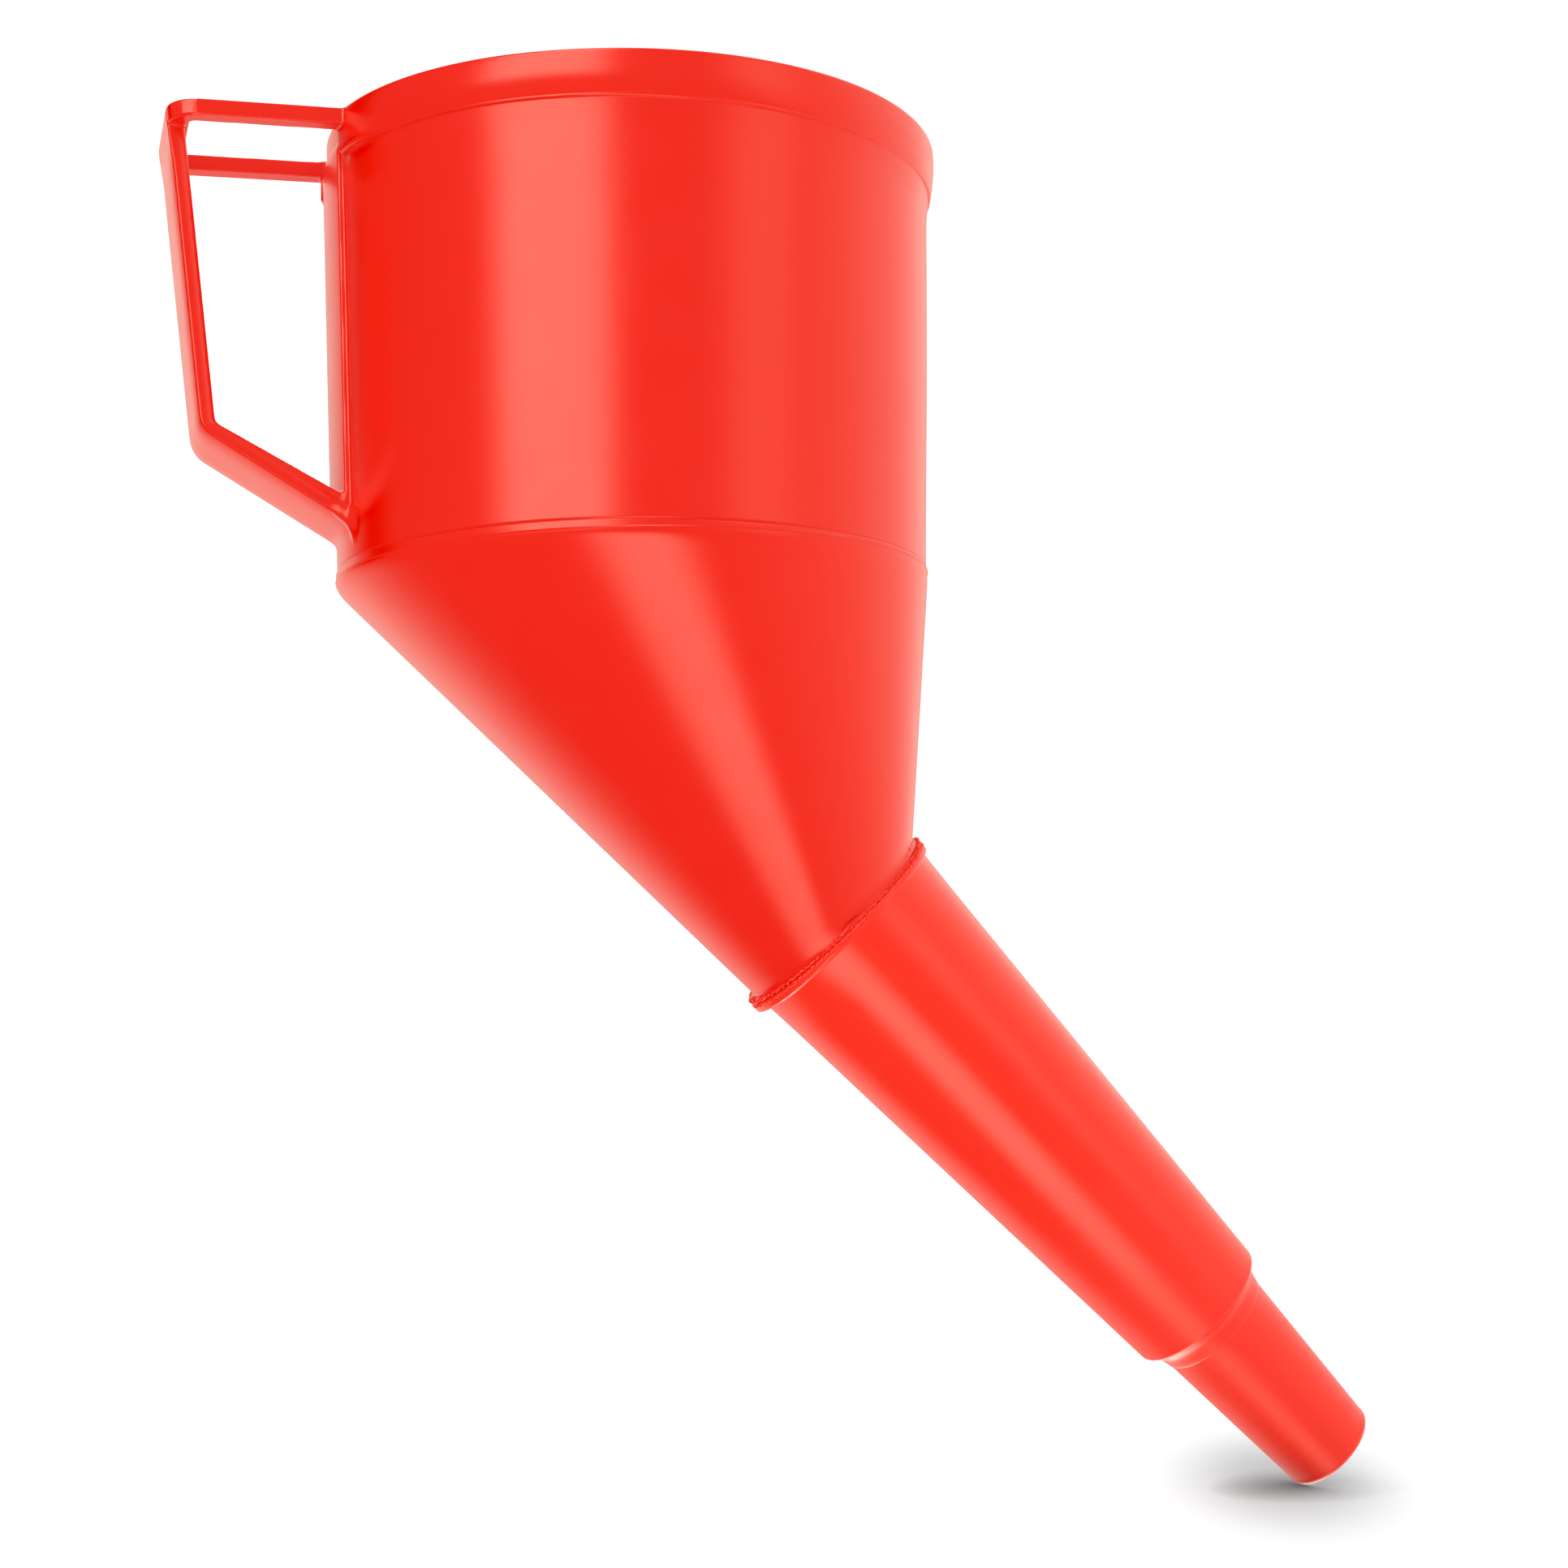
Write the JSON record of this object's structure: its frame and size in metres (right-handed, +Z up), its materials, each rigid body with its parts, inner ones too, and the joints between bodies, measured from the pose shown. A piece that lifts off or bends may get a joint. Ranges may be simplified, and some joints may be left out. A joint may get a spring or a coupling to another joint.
{
  "type": "funnel",
  "caption": "Filling funnel with a round cup, an oblique cone, a side handle, a slanting stepped spout and a lift-out wire strainer in a rubber ring.",
  "frame": {"origin": "under the middle of the whole funnel's extents, level with the lowest point of the spout's tip", "axes": "+Z up along the cup's axis, +X from the handle towards the spout; the XZ plane is the plane of symmetry"},
  "size_m": [0.2854, 0.1448, 0.3195],
  "materials": {
    "red_plastic": "glossy moulded",
    "black_rubber": "smooth, slightly shiny",
    "steel_wire": "bright woven wire"
  },
  "bodies": {
    "funnel": {"funnel_body": "red_plastic", "spout": "red_plastic"},
    "strainer": {"strainer_ring": "black_rubber", "strainer_mesh": "steel_wire"}
  },
  "joints": [
    {"name": "strainer_lift", "type": "slide", "parent": "funnel", "child": "strainer", "axis": [-0.6852, 0, 0.7284], "range_m": [0, 0.03]}
  ]
}
